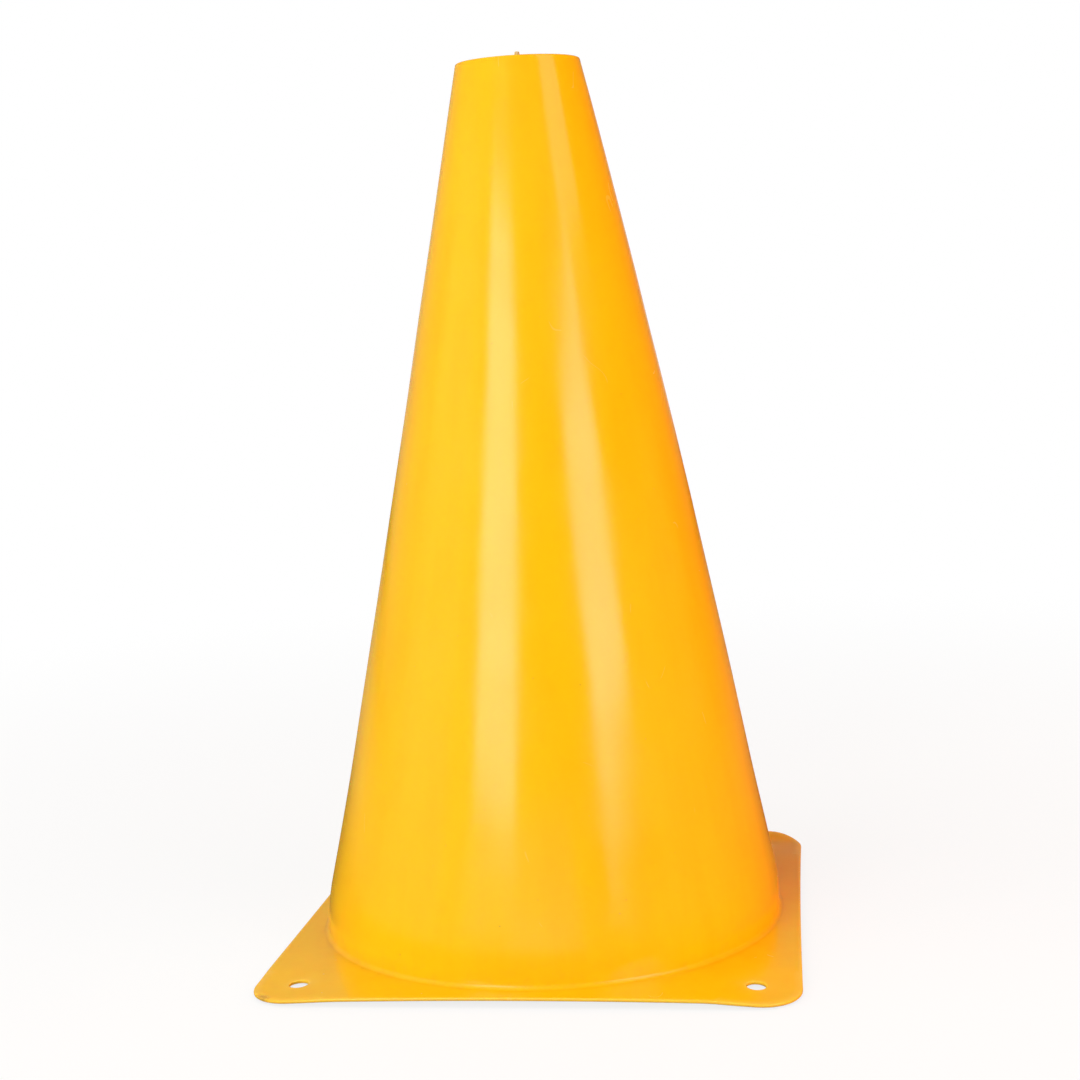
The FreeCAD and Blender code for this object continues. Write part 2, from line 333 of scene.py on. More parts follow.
        surface = graph.node(
            "BsdfPrincipled",
            {},
            {
                "Base Color": colour,
                "Roughness": roughness,
                "IOR": 1.5,
                "Subsurface Weight": 0.25,
                "Subsurface Radius": (1.0, 0.3, 0.05),
                "Subsurface Scale": 2.5 * MM,
                "Normal": self._relief(graph, place, wear),
            },
        )
        graph.node("OutputMaterial", {}, {"Surface": surface})
        return material

    def _scuffs(self, graph: Graph, place: Wire) -> Wire:
        """Find where short, thin scratches have been rubbed into the skin.

        Args:
            graph: The material's graph.
            place: Where on the object to look.

        Returns:
            1 on a scratch and 0 elsewhere.
        """
        swirl = graph.noise(graph.stretched(place, (1.0, 1.0, 0.6)), 110.0, detail=0.5)
        lines = (swirl - 0.5).size().ramp(0.001, 0.006, 1.0, 0.0)
        here = graph.noise(place, 95.0, detail=1.0).ramp(0.66, 0.74)
        return lines * here

    def _dirt(self, graph: Graph, place: Wire, edge: Wire, crease: Wire) -> Wire:
        """Find where dirt has gathered.

        Args:
            graph: The material's graph.
            place: Where on the object to look.
            edge: 1 on rims and lips.
            crease: 1 in the angle between wall and flange.

        Returns:
            How much dirt there is, 0 to 1.
        """
        speckle = graph.noise(place, 260.0, detail=4.0, roughness=0.6)
        in_crease = crease * speckle.ramp(0.48, 0.7) * 0.1
        on_edge = edge * graph.noise(place, 60.0, detail=3.0).ramp(0.6, 0.75) * 0.3
        specks = graph.noise(place, 700.0, detail=1.0).ramp(0.79, 0.83) * 0.35
        near_smudge = graph.distance(place, self.smudge).ramp(0.8 * MM, 3.2 * MM, 1.0, 0.0)
        smudge = near_smudge * speckle.ramp(0.3, 0.6) * 0.6
        return (in_crease + on_edge + specks + smudge).at_most(0.85)

    def _relief(self, graph: Graph, place: Wire, wear: Wire) -> Wire:
        """Give the skin its fine relief.

        Args:
            graph: The material's graph.
            place: Where on the object to look.
            wear: 1 where the skin is scuffed.

        Returns:
            The surface's normal.
        """
        drawing = graph.noise(graph.stretched(place, (120, 120, 12)), 1.0, detail=2.0)
        ripples = graph.noise(graph.stretched(place, (9, 9, 520)), 1.0, detail=1.0)
        pebbles = graph.noise(place, 420.0, detail=3.0)
        height = drawing * self.drawing_height + ripples * self.ripple_height
        height = height + pebbles * self.pebble_height - wear * self.scratch_depth
        return graph.node("Bump", {}, {"Strength": 1.0, "Distance": 1.0, "Height": height})


@dataclass(frozen=True)
class StudioFloor:
    """A plain white sweep that keeps the object's shadow.

    Attributes:
        name: The material's name.
        colour: The floor's own colour.
        bounce: The colour that it throws back on to the object from close by.
        far_bounce: The colour that it throws back from farther away.
        lift: How much of the camera's view of it is plain white, so that it meets the background.
    """

    name: str = "studio_floor"
    colour: Colour = (0.88, 0.88, 0.88, 1.0)
    bounce: Colour = (0.07, 0.07, 0.07, 1.0)
    far_bounce: Colour = (0.38, 0.37, 0.3, 1.0)
    lift: float = 0.82

    def make(self) -> bpy.types.Material:
        """Make the material.

        Returns:
            The material.
        """
        material = bpy.data.materials.new(self.name)
        material.use_nodes = True
        graph = Graph(material.node_tree)
        seen = graph.node("LightPath", output="Is Camera Ray")
        place = graph.node("TexCoord", output="Object")
        away = graph.node("VectorMath", {"operation": "LENGTH"}, {0: place}, output="Value")
        aside = graph.node("SeparateXYZ", {}, {"Vector": place}, output="X")
        # the floor to the right throws back less, so that the object has a darker side
        far = away.ramp(0.12, 0.45) * aside.ramp(-0.3, 0.4, 1.0, 0.2)
        bounce = graph.mix(far, self.bounce, self.far_bounce)
        paint = graph.node("BsdfDiffuse", {}, {"Color": graph.mix(seen, bounce, self.colour)})
        white = graph.node("Emission", {}, {"Color": (1.0, 1.0, 1.0, 1.0), "Strength": 1.0})
        lift = away.ramp(0.1, 0.6, self.lift, 1.0)
        mixed = graph.node("MixShader", {}, {0: seen * lift, 1: paint, 2: white})
        graph.node("OutputMaterial", {}, {"Surface": mixed})
        return material


# ---------------------------------------------------------------- the moulding
class Feature(Enum):
    """Parts of the skin that wear, soil or tear in their own way. The value names a point attribute."""

    # the edge and crease marks also place the painted highlight and the painted shade
    EDGE = "edge"
    CREASE = "crease"
    GATE = "gate"


@dataclass
class SkinMesh:
    """The skin's points and faces, gathered ring by ring.

    Attributes:
        points: The points, in metres.
        faces: The faces, as numbers of points.
        marks: For each feature, how strongly each point belongs to it.
    """

    points: list[Vector] = field(default_factory=list)
    faces: list[tuple[int, ...]] = field(default_factory=list)
    marks: dict[Feature, dict[int, float]] = field(default_factory=lambda: {f: {} for f in Feature})

    def add(self, places: Iterable[Vector], marks: dict[Feature, float] | None = None) -> list[int]:
        """Add points.

        Args:
            places: Where they are.
            marks: The features that they belong to, and how strongly.

        Returns:
            Their numbers.
        """
        first = len(self.points)
        self.points.extend(places)
        numbers = list(range(first, len(self.points)))
        for feature, strength in (marks or {}).items():
            self.marks[feature].update(dict.fromkeys(numbers, strength))
        return numbers

    def sweep(
        self,
        angles: Sequence[float],
        section: Sequence[tuple[float, float]],
        previous: Sequence[int] | None = None,
        marks: dict[Feature, float] | None = None,
    ) -> list[list[int]]:
        """Turn a section about the axis: a ring for each of its steps, each joined to the one before.

        Args:
            angles: The angles of the rings' points.
            section: Pairs of distance from the axis and height.
            previous: A ring that the first is joined to.
            marks: The features that the rings belong to.

        Returns:
            The new rings.
        """
        rings = []
        for radius, height in section:
            rings.append(self.add([turned(radius, height, angle) for angle in angles], marks))
            if previous is not None:
                self.bridge(previous, rings[-1])
            previous = rings[-1]
        return rings

    def bridge(self, low: Sequence[int], high: Sequence[int], spans: Iterable[int] | None = None) -> None:
        """Join two closed rings by quads.

        Args:
            low: The first ring.
            high: The second ring, with as many points.
            spans: The spans to fill, by the number of the point that each starts at; all if left out.
        """
        count = len(low)
        for here in spans if spans is not None else range(count):
            there = (here + 1) % count
            self.faces.append((low[here], low[there], high[there], high[here]))

    def close(self, ring: Sequence[int], centre: Vector, marks: dict[Feature, float] | None = None) -> None:
        """Close a ring by a fan of triangles.

        Args:
            ring: The ring.
            centre: The fan's centre.
            marks: The features that the centre belongs to.
        """
        middle = self.add([centre], marks)[0]
        for here, number in enumerate(ring):
            self.faces.append((number, ring[(here + 1) % len(ring)], middle))

    def make_object(self, name: str) -> bpy.types.Object:
        """Make a smooth-shaded object of the points and faces.

        Args:
            name: The object's name.

        Returns:
            The object.
        """
        mesh = bpy.data.meshes.new(name)
        mesh.from_pydata([tuple(p) for p in self.points], [], self.faces)
        for feature, strengths in self.marks.items():
            values = [strengths.get(number, 0.0) for number in range(len(self.points))]
            mesh.attributes.new(feature.value, "FLOAT", "POINT").data.foreach_set("value", values)
        sorted_out = bmesh.new()
        sorted_out.from_mesh(mesh)
        # the flange's rings have points that its peg holes' faces pass by
        unused = [vertex for vertex in sorted_out.verts if not vertex.link_faces]
        bmesh.ops.delete(sorted_out, geom=unused, context="VERTS")
        bmesh.ops.recalc_face_normals(sorted_out, faces=sorted_out.faces)
        sorted_out.to_mesh(mesh)
        sorted_out.free()
        mesh.shade_smooth()
        made = bpy.data.objects.new(name, mesh)
        bpy.context.scene.collection.objects.link(made)
        return made


def spread(start: float, end: float, steps: int) -> list[float]:
    """Step evenly from start to end, both included, in a number of steps."""
    return [start + (end - start) * step / steps for step in range(steps + 1)]


def turned(radius: float, height: float, angle: float) -> Vector:
    """Place a point at a distance from the axis, a height and an angle."""
    return Vector((radius * math.cos(angle), radius * math.sin(angle), height))


def quarter_round(
    centre: tuple[float, float], radius: float, start: float, end: float, steps: int
) -> Section:
    """Step along an arc of a section.

    Args:
        centre: The arc's centre, as distance from the axis and height.
        radius: Its radius.
        start: The angle that it starts at, in degrees from outwards, anticlockwise.
        end: The angle that it ends at.
        steps: The number of steps.

    Returns:
        Pairs of distance from the axis and height, start and end included.
    """
    angles = (math.radians(a) for a in spread(start, end, steps))
    return [(centre[0] + radius * math.cos(a), centre[1] + radius * math.sin(a)) for a in angles]


@dataclass
class Flange:
    """The square flange: its outline, its rim and its four peg holes.

    Attributes:
        half_width: Half of its width.
        corner: Radius of its corners, seen from above.
        thickness: Its thickness.
        rim_round: Rounding of its rim.
        hole_place: A peg hole's centre from the axis, along X and Y.
        hole_radius: A peg hole's radius.
        lip: Rounding of a peg hole's lips.
        hole_wear: How much wider than its nominal radius a peg hole is.
        corner_steps: Steps round the cone in each corner, where a peg hole is let in.
        side_steps: Steps round the cone along each side.
        corner_spread: Angle about the cone's axis that a corner's steps cover, in degrees.
        rings: Rings of faces between wall and rim.
        hole_rings: Rings of faces between a corner's outline and its peg hole.
        mouths: The peg holes let in so far: by the face's height, each one's centre and its ring.
    """

    half_width: float
    hole_place: float
    hole_radius: float
    corner: float = 11.0 * MM
    thickness: float = 0.8 * MM
    rim_round: float = 0.25 * MM
    lip: float = 0.12 * MM
    hole_wear: float = 0.15 * MM
    corner_steps: int = 24
    side_steps: int = 40
    corner_spread: float = 20.0
    rings: int = 14
    hole_rings: int = 6
    mouths: dict[float, list[tuple[Vector, list[int]]]] = field(default_factory=dict, init=False)

    @property
    def worn_radius(self) -> float:
        """Radius of a peg hole as it is after some use."""
        return self.hole_radius + self.hole_wear

    @property
    def quarter_steps(self) -> int:
        """Steps round the cone in a quarter turn."""
        return self.corner_steps + self.side_steps

    def angles(self) -> list[float]:
        """List the angles of the lines that run up the cone, starting where the first corner does."""
        made = []
        for quarter in range(4):
            first = 90 * quarter + 45 - self.corner_spread / 2
            last = first + self.corner_spread
            made += spread(first, last, self.corner_steps)[:-1]
            made += spread(last, first + 90, self.side_steps)[:-1]
        return [math.radians(angle) for angle in made]

    def reach(self, angle: float, inset: float) -> float:
        """Measure the distance from the axis to the flange's outline.

        Args:
            angle: The direction to measure in.
            inset: How far inside the flange's rim the outline runs.

        Returns:
            The distance.
        """
        folded = abs((angle + math.pi / 4) % (math.pi / 2) - math.pi / 4)
        half, round_centre = self.half_width - inset, self.half_width - self.corner
        if half * math.tan(folded) <= round_centre:
            return half / math.cos(folded)
        along = round_centre * (math.cos(folded) + math.sin(folded))
        return along + math.sqrt(along**2 - 2 * round_centre**2 + (self.corner - inset) ** 2)

    def make_face(
        self, skin: SkinMesh, inner: Sequence[int], inner_radius: float, height: float
    ) -> list[int]:
        """Make the flange's upper or lower face, with the starts of its peg holes.

        Args:
            skin: The mesh to add to.
            inner: The ring that the face starts from.
            inner_radius: That ring's radius.
            height: The face's height.

        Returns:
            The ring that the face ends in, where the rim's rounding starts.
        """
        angles = self.angles()
        side_spans = [n for n in range(len(angles)) if n % self.quarter_steps >= self.corner_steps]
        kept, rings = side_spans, [list(inner)]
        for share in spread(0, 1, self.rings)[1:]:
            places = []
            for angle in angles:
                outer = self.reach(angle, self.rim_round)
                places.append(turned(inner_radius + (outer - inner_radius) * share, height, angle))
            near_wall = max(0.0, 1 - share * 2.5)
            # the crease mark carries the painted shade and the dirt a little way on to the flange
            rings.append(skin.add(places, {Feature.CREASE: 0.6 * near_wall}))
            skin.bridge(rings[-2], rings[-1], kept)
        skin.marks[Feature.EDGE].update(dict.fromkeys(rings[-1], 0.8))
        self._let_in_holes(skin, rings, height)
        return rings[-1]

    def _let_in_holes(self, skin: SkinMesh, rings: Sequence[Sequence[int]], height: float) -> None:
        """Fill each corner of a face with rings of faces that close in on its peg hole.

        Args:
            skin: The mesh to add to.
            rings: The face's rings, from the wall outwards.
            height: The face's height.
        """
        self.mouths.setdefault(height, [])
        for quarter in range(4):
            first = quarter * self.quarter_steps
            last = first + self.corner_steps
            inwards = [rings[0][n] for n in range(first, last)]
            far_side = [ring[last] for ring in rings[:-1]]
            outwards = [rings[-1][n] for n in range(last, first, -1)]
            near_side = [ring[first] for ring in reversed(rings[1:])]
            outline = inwards + far_side + outwards + near_side
            turn = math.radians(45 + 90 * quarter)
            centre = turned(self.hole_place * math.sqrt(2), height, turn)
            mouth = outline
            for share in spread(0, 1, self.hole_rings)[1:]:
                eased = 1 - (1 - share) ** 1.6
                places = []
                for number in outline:
                    start = skin.points[number]
                    end = centre + (start - centre).normalized() * (self.worn_radius + self.lip)
                    places.append(start.lerp(end, eased))
                following = skin.add(places, {Feature.EDGE: 0.9 * share**6})
                skin.bridge(mouth, following)
                mouth = following
            self.mouths[height].append((centre, mouth))

    def make_rim(self, skin: SkinMesh, upper: Sequence[int], lower: Sequence[int]) -> None:
        """Close the flange's rim, from the upper face round to the lower.

        Args:
            skin: The mesh to add to.
            upper: The ring that the upper face ends in.
            lower: The ring that the lower face ends in.
        """
        section = quarter_round((0.0, self.thickness - self.rim_round), self.rim_round, 90, 0, 3)[1:]
        section += quarter_round((0.0, self.rim_round), self.rim_round, 0, -90, 3)[:-1]
        previous = list(upper)
        for out, height in section:
            inset = self.rim_round - out
            ring = skin.add(
                [turned(self.reach(a, inset), height, a) for a in self.angles()], {Feature.EDGE: 1.0}
            )
            skin.bridge(previous, ring)
            previous = ring
        skin.bridge(previous, lower)

    def make_hole_walls(self, skin: SkinMesh) -> None:
        """Join each peg hole's two mouths by its wall, with rounded lips.

        Args:
            skin: The mesh to add to.
        """
        section = quarter_round((self.lip, self.thickness - self.lip), self.lip, 90, 180, 3)[1:]
        section += quarter_round((self.lip, self.lip), self.lip, 180, 270, 3)[:-1]
        low, high = sorted(self.mouths)
        for (_, lower), (centre, upper) in zip(self.mouths[low], self.mouths[high]):
            previous = upper
            rays = [(skin.points[n] - centre).normalized() for n in upper]
            for out, height in section:
                middle = Vector((centre.x, centre.y, height))
                places = [middle + ray * (self.worn_radius + out) for ray in rays]
                ring = skin.add(places, {Feature.EDGE: 0.8})
                skin.bridge(previous, ring)
                previous = ring
            skin.bridge(previous, lower)


@dataclass(frozen=True)
class Warp:
    """How a flexible moulding has warped as it cooled and settled on the floor.

    Attributes:
        corners: How far the flange's corners stand off the floor, anticlockwise from where X and Y are
            both negative.
        sides: How far the middles of its sides rise above the line between their corners, anticlockwise
            from the side towards -Y.
        lean_x: How far the crown leans towards +X.
        bow_x: How far the wall bows towards +X at half height.
        oval: How much wider the foot is along X, and narrower along Y, than a circle.
        curls: How far the corners' tips have curled down, anticlockwise like the corners.
        dip: How far the crown's edge dips towards -Y.
        pull: How far the side towards +X is pulled in at its middle.
        upturn: How far the rim towards +Y is turned up at its end towards +X.
        upturn_from: Place along Y where that starts, 1 being the rim.
        tip_place: Place along X and Y of a corner's tip, 1 being the flange's side.
        curl_reach: How far from a corner's tip its curl ends, in the same measure.
        unevenness: The wall's broad and narrow unevenness: each one's height, and its waves to the metre.
    """

    corners: tuple[float, float, float, float] = (0.82 * MM, 1.08 * MM, 0.91 * MM, 0.0)
    sides: tuple[float, float, float, float] = (1.02 * MM, 0.35 * MM, 0.49 * MM, -0.15 * MM)
    lean_x: float = 1.68 * MM
    bow_x: float = 1.11 * MM
    oval: float = -0.27 * MM
    curls: tuple[float, float, float, float] = (0.32 * MM, 0.78 * MM, 0.3 * MM, 0.0)
    dip: float = 0.73 * MM
    pull: float = 0.5 * MM
    upturn: float = 2.1 * MM
    upturn_from: float = 0.88
    tip_place: float = 0.98
    curl_reach: float = 0.3
    unevenness: tuple[tuple[float, float], ...] = ((0.09 * MM, 34.0), (0.03 * MM, 90.0))

    def lift(self, across: float, along: float) -> float:
        """Measure how far the flange stands off the floor.

        Args:
            across: Place along X, -1 and 1 at the flange's sides.
            along: Place along Y, -1 and 1 at the flange's sides.

        Returns:
            The height.
        """
        left, right, front, back = 1 - across, 1 + across, 1 - along, 1 + along
        places = ((left, front), (right, front), (right, back), (left, back))
        lift = sum(corner * a * b / 4 for corner, (a, b) in zip(self.corners, places))
        turned_up = max(0.0, (along - self.upturn_from) / (1 - self.upturn_from)) ** 2
        lift += self.upturn * max(0.0, across) ** 2 * turned_up
        rises = (left * right * front, front * back * right, left * right * back, front * back * left)
        return lift + sum(side * rise / 2 for side, rise in zip(self.sides, rises))

    def droop(self, across: float, along: float) -> float:
        """Measure how far the nearest corner's tip has curled down.

        Args:
            across: Place along X, -1 and 1 at the flange's sides.
            along: Place along Y, -1 and 1 at the flange's sides.

        Returns:
            How far.
        """
        corner = (1 if across > 0 else 0) if along < 0 else (2 if across > 0 else 3)
        from_tip = math.hypot(abs(across) - self.tip_place, abs(along) - self.tip_place)
        nearness = max(0.0, 1 - from_tip / self.curl_reach)
        return self.curls[corner] * nearness * (2 - nearness)


@dataclass
class MouldedCone:
    """The whole moulding: crown, tapered wall and flange in one seamless skin.

    Attributes:
        height: Floor to the top of the crown.
        gate_top: Height of the gate's torn end.
        flange: The flange.
        foot: Radius of the wall's outside at the floor.
        straight_foot: Radius at which the straight taper would meet the floor.
        shoulder: Radius of the wall's outside at the crown.
        crown_rise: Height of the crown's dome above its shoulder.
        crown_thickness: Thickness of the crown.
        shoulder_round: Outside radius between wall and crown.
        shoulder_round_inside: Inside radius between wall and crown.
        wall: Thickness of the wall, square to it.
        flare_height: Height below which the wall curves outwards.
        nip: How far the wall is drawn in at the floor, where it runs into the flange.
        nip_height: Height below which it is drawn in.
        foot_round: Radius between wall and flange, outside.
        under_shoulder: How far below the shoulder its rounding has ended.
        over_foot: Height at which the foot's rounding hasn't started.
        crease_height: Height above the flange up to which the wall counts as near its foot.
        gate: Radius of the gate at its root.
        tear_waves: Waves to the metre of the gate's torn end.
        tear_height: Height of those waves.
        tear_slope: How steeply the torn end falls away to its left and right.
        tear_depth: How far it lies below the gate's true end.
        tear_reach: How far down the gate its tearing reaches.
        belly: How far the wall stands out beyond a straight taper at half height.
        tuck: How far the wall tucks in under the crown.
        warp: How it has warped.
        finish: Its finish.
    """

    height: float
    gate_top: float
    flange: Flange
    foot: float = 64.0 * MM
    straight_foot: float = 63.06 * MM
    shoulder: float = 16.5 * MM
    crown_rise: float = 0.8 * MM
    crown_thickness: float = 1.4 * MM
    shoulder_round: float = 0.6 * MM
    shoulder_round_inside: float = 0.4 * MM
    wall: float = 1.1 * MM
    flare_height: float = 56.0 * MM
    nip: float = 2.0 * MM
    nip_height: float = 14.0 * MM
    foot_round: float = 1.2 * MM
    under_shoulder: float = 1.3 * MM
    over_foot: float = 5.0 * MM
    crease_height: float = 10.0 * MM
    gate: float = 0.8 * MM
    tear_waves: float = 1900.0
    tear_height: float = 0.05 * MM
    tear_slope: float = 0.12
    tear_depth: float = 0.07 * MM
    tear_reach: float = 0.2 * MM
    belly: float = 0.4 * MM
    tuck: float = 0.25 * MM
    warp: Warp = Warp()
    finish: Polyethylene = Polyethylene()

    @property
    def shoulder_height(self) -> float:
        """Height of the corner between wall and crown, before it is rounded."""
        return self.height - self.crown_rise

    @property
    def taper(self) -> float:
        """Angle between the straight wall and the axis."""
        return math.atan2(self.straight_foot - self.shoulder, self.shoulder_height)

    def wall_radius(self, height: float, inside: bool = False) -> float:
        """Measure the wall's distance from the axis.

        Args:
            height: The height to measure at.
            inside: Whether to measure the inside.

        Returns:
            The distance.
        """
        radius = self.straight_foot - (self.straight_foot - self.shoulder) * height / self.shoulder_height
        below = max(0.0, 1 - height / self.flare_height)
        radius += (self.foot - self.straight_foot) * below**2
        radius -= self.nip * max(0.0, 1 - height / self.nip_height) ** 2
        share = min(1.0, height / self.shoulder_height)
        radius += self.belly * 4 * share * (1 - share) - self.tuck * share**10
        return radius - (self.wall / math.cos(self.taper) if inside else 0.0)

    def _near_foot(self, height: float) -> dict[Feature, float]:
        """Mark how near a height is to the angle between wall and flange."""
        return {Feature.CREASE: max(0.0, 1 - (height - self.flange.thickness) / self.crease_height)}

    def _wall_section(self, inside: bool) -> Section:
        """Step down the wall, from under the shoulder's rounding to above the foot's.

        Args:
            inside: Whether to follow the inside.

        Returns:
            Pairs of distance from the axis and height, highest first.
        """
        top = self.shoulder_height - (self.crown_thickness if inside else 0.0) - self.under_shoulder
        heights = spread(top, self.flare_height, 32) + spread(self.flare_height, self.over_foot, 20)[1:]
        return [(self.wall_radius(height, inside), height) for height in heights]

    def _crown_section(self, start: float, inside: bool) -> Section:
        """Step over the crown's dome and round its shoulder, from near the axis to the wall.

        Args:
            start: Distance from the axis to start at.
            inside: Whether to follow the inside.

        Returns:
            Pairs of distance from the axis and height, outwards.
        """
        sunk = self.crown_thickness if inside else 0.0
        rounding = self.shoulder_round_inside if inside else self.shoulder_round
        corner = self.wall_radius(self.shoulder_height - sunk, inside)
        # the dome and the wall meet at a right angle and the taper, and the rounding touches both
        flat_end = corner - rounding * math.tan((math.pi / 2 - self.taper) / 2)

        def dome(radius: float) -> float:
            """Height of the dome at a distance from the axis."""
            return self.height - sunk - self.crown_rise * (radius / self.shoulder) ** 2

        section = [(radius, dome(radius)) for radius in spread(start, flat_end, 10)]
        centre = (flat_end, dome(flat_end) - rounding)
        return section + quarter_round(centre, rounding, 90, math.degrees(self.taper), 6)[1:]

    def _foot_section(self, rounding: float, floor: float, inside: bool) -> Section:
        """Step round the angle between the wall and one of the flange's faces.

        Args:
            rounding: The radius between them.
            floor: The face's height.
            inside: Whether the face is the lower one, which meets the wall's inside.

        Returns:
            Pairs of distance from the axis and height, from the wall to the face.
        """
        start = floor + rounding
        lean = math.atan2(self.wall_radius(start, inside) - self.wall_radius(start + MM, inside), MM)
        # the wall's own line, carried down to the face, meets it at the corner that is rounded
        corner = self.wall_radius(start, inside) + rounding * math.tan(lean)
        centre = (corner + rounding * math.tan((math.pi / 2 - lean) / 2), start)
        return quarter_round(centre, rounding, 180 + math.degrees(lean), 270, 7)

    def _gate_section(self) -> Section:
        """Step from the gate's torn end down its side to where it spreads into the crown.

        Returns:
            Pairs of distance from the axis and height, highest first.
        """
        tip, spread_from, flare = self.gate * 0.8, self.height + 0.5 * MM, 0.5 * MM
        side = [(tip * 0.45, self.gate_top), (tip * 0.85, self.gate_top), (tip, self.gate_top - 0.15 * MM)]
        side += [(tip * 1.04, self.gate_top - 0.6 * MM), (self.gate, spread_from)]
        return side + quarter_round((self.gate + flare, spread_from), flare, 180, 270, 5)[1:]

    def build(self) -> bpy.types.Object:
        """Build the moulding's skin.

        Returns:
            The object.
        """
        skin = SkinMesh()
        angles = self.flange.angles()
        gate = self._gate_section()
        torn = skin.sweep(angles, gate[:3], marks={Feature.GATE: 1.0})
        skin.close(torn[0], Vector((0, 0, self.gate_top)), {Feature.GATE: 1.0})
        ring = skin.sweep(angles, gate[3:5], torn[-1], {Feature.GATE: 0.8})[-1]
        ring = skin.sweep(angles, gate[5:], ring)[-1]
        ring = skin.sweep(angles, self._crown_section(gate[-1][0] + 0.7 * MM, False), ring)[-1]
        for step in self._wall_section(False):
            ring = skin.sweep(angles, [step], ring, self._near_foot(step[1]))[-1]
        foot = self._foot_section(self.foot_round, self.flange.thickness, False)
        ring = skin.sweep(angles, foot, ring, {Feature.CREASE: 1.0})[-1]
        upper = self.flange.make_face(skin, ring, foot[-1][0], self.flange.thickness)

        inner = skin.sweep(angles, self._crown_section(1.0 * MM, True))
        skin.close(inner[0], Vector((0, 0, self.height - self.crown_thickness)))
        ring = skin.sweep(angles, self._wall_section(True), inner[-1])[-1]
        mouth = self._foot_section(self.foot_round + self.flange.thickness, 0.0, True)
        ring = skin.sweep(angles, mouth, ring)[-1]
        lower = self.flange.make_face(skin, ring, mouth[-1][0], 0.0)

        self.flange.make_rim(skin, upper, lower)
        self.flange.make_hole_walls(skin)
        self.tear_gate(skin)
        for number, point in enumerate(skin.points):
            skin.points[number] = self.settle(point)
        return skin.make_object("cone_moulding")

    def tear_gate(self, skin: SkinMesh) -> None:
        """Make the gate's end uneven, as where it was torn from its sprue.

        Args:
            skin: The skin.
        """
        for number, strength in skin.marks[Feature.GATE].items():
            point = skin.points[number]
            ragged = noise.noise(point * self.tear_waves) * self.tear_height - abs(point.x) * self.tear_slope
            if point.z > self.gate_top - self.tear_reach:
                point.z -= strength * (self.tear_depth - ragged)

    def settle(self, point: Vector) -> Vector:
        """Move a point of the true shape to where it lies on the cone as it has warped and settled.

        Args:
            point: The point on the true shape.

        Returns:
            Where it lies.
        """
        share = point.z / self.height
        across, along = point.x / self.flange.half_width, point.y / self.flange.half_width
        lift = self.warp.lift(across, along) * max(0.0, 1 - share) ** 2
        lift -= min(lift, self.warp.droop(across, along))
        outwards = Vector((point.x, point.y, 0))
        from_axis = outwards.length
        if from_axis > 0:
            outwards.normalize()
        # the rim keeps its size, and the wall has all of the unevenness
        rim = self.flange.half_width
        free = min(1.0, max(0.0, (rim - from_axis) / (rim - self.foot)))
        uneven = sum(height * noise.noise(point * waves) for height, waves in self.warp.unevenness)
        uneven += self.warp.oval * (1 - share) * (outwards.x**2 - outwards.y**2)
        bow = 4 * share * (1 - share)
        lift += self.warp.dip * point.y / self.shoulder * min(1.0, share) ** 8
        pulled = self.warp.pull * max(0.0, across) ** 6 * max(0.0, 1 - along**2)
        shift = Vector((self.warp.lean_x * share + self.warp.bow_x * bow - pulled, 0, lift))
        return point + shift + outwards * uneven * free

    def dress(self, piece: bpy.types.Object) -> None:
        """Give the moulding its finish and tie it to the part.

        Args:
            piece: The moulding's skin.
        """
        piece.data.materials.append(self.finish.make())
        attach(piece, "root")
        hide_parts("crown", "cone_wall", "base_flange")


# ---------------------------------------------------------------- the studio
@dataclass(frozen=True)
class Softbox:
    """A soft rectangular lamp that stands round the object and faces it.

    Attributes:
        name: Its name.
        bearing: Where it stands, in degrees from -Y towards +X.
        distance: Its distance from the cone's axis.
        height: Height of its middle.
        width: Its width.
        length: Its height from edge to edge.
        radiance: How bright its face is, where plain white paper in full light is 1.
        aim: Height of the point on the axis that it faces.
        lean: How far its top leans towards greater bearings, in degrees.
        mirrored: Whether glossy surfaces show it. A fill lamp that they don't show only lightens.
        tint: Its colour.
    """

    name: str
    bearing: float
    distance: float
    height: float
    width: float
    length: float
    radiance: float
    aim: float = 0.12
    lean: float = 0.0
    mirrored: bool = True
    tint: tuple[float, float, float] = (1.0, 1.0, 1.0)

    def build(self) -> bpy.types.Object:
        """Build the lamp.

        Returns:
            The lamp.
        """
        data = bpy.data.lights.new(self.name, "AREA")
        data.shape = "RECTANGLE"
        data.size, data.size_y = self.width, self.length
        data.energy = self.radiance * math.pi * self.width * self.length
        data.color = self.tint
        lamp = bpy.data.objects.new(self.name, data)
        bearing = math.radians(self.bearing)
        lamp.location = (self.distance * math.sin(bearing), -self.distance * math.cos(bearing), self.height)
        facing = Vector((0, 0, self.aim)) - lamp.location
        upright = facing.to_track_quat("-Z", "Y").to_matrix()
        lamp.rotation_euler = (upright @ Matrix.Rotation(math.radians(self.lean), 3, "Z")).to_euler()
        lamp.visible_camera = False
        lamp.visible_glossy = self.mirrored
        bpy.context.scene.collection.objects.link(lamp)
        return lamp


